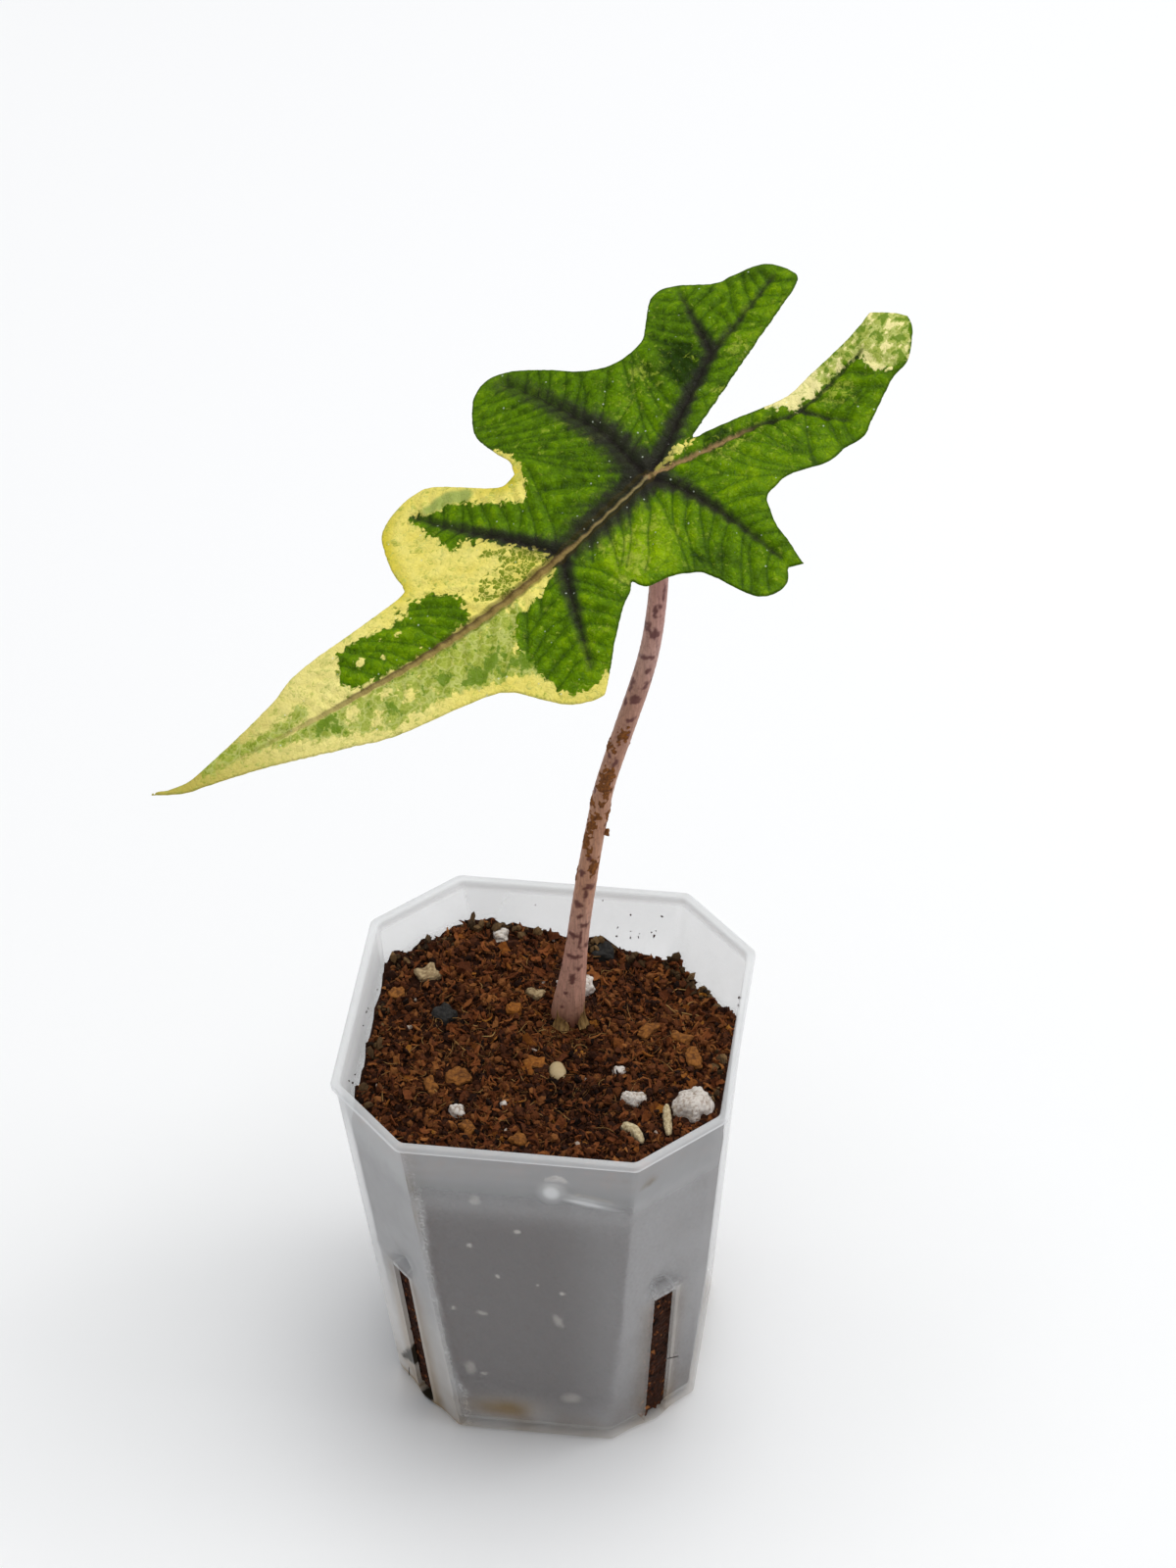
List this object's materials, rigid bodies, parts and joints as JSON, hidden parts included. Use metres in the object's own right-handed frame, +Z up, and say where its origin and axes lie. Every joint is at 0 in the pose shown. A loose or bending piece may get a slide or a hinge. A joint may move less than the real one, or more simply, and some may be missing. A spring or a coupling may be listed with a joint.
{
  "type": "potted alocasia",
  "caption": "Young variegated alocasia: one lobed arrowhead leaf on a tall mottled petiole, in growing mix in a clear eight-sided nursery pot with slotted corners.",
  "frame": {"origin": "middle of the pot's flat underside", "axes": "+Z up, -Y to the pot's front, pot sides along X and Y"},
  "size_m": [0.1183, 0.0943, 0.2039],
  "materials": {
    "clear_polypropylene": "moulded natural polypropylene, translucent, satin",
    "coir_mix": "loose coir fibre and bark, matt, damp",
    "perlite": "expanded volcanic glass, chalky, pitted",
    "bark": "bark and wood chips, matt",
    "charcoal": "horticultural charcoal, matt black",
    "seed": "smooth pale seed coat",
    "dry_root": "dead root ends, dull and fibrous",
    "corm": "corky corm skin and live roots",
    "petiole": "smooth mauve leaf stalk with dark red-brown flecks",
    "leaf": "glossy green blade with cream and yellow-green variegation",
    "dry_scale": "papery dried scale leaf"
  },
  "bodies": {
    "root": {"pot": "clear_polypropylene", "growing_mix": "coir_mix", "corm_with_roots": "corm", "petiole": "petiole", "leaf_blade": "leaf", "bark_cream_curl": "bark", "bark_cream_left": "bark", "bark_front": "bark", "bark_front_left": "bark", "bark_left_edge": "bark", "bark_left_flat": "bark", "bark_left_sliver": "bark", "bark_orange": "bark", "bark_right": "bark", "bark_right_back": "bark", "bark_right_middle": "bark", "bark_tan_by_seed": "bark", "charcoal_behind_petiole": "charcoal", "charcoal_left": "charcoal", "pale_seed": "seed", "perlite_at_front_wall": "perlite", "perlite_back": "perlite", "perlite_behind_petiole": "perlite", "perlite_front_small": "perlite", "perlite_left_front": "perlite", "perlite_right": "perlite", "perlite_right_large": "perlite", "perlite_right_small": "perlite", "root_at_front_wall": "dry_root", "root_end_left": "dry_root", "root_end_right": "dry_root", "scale_leaf_front": "dry_scale", "scale_leaf_right": "dry_scale"}
  },
  "joints": []
}
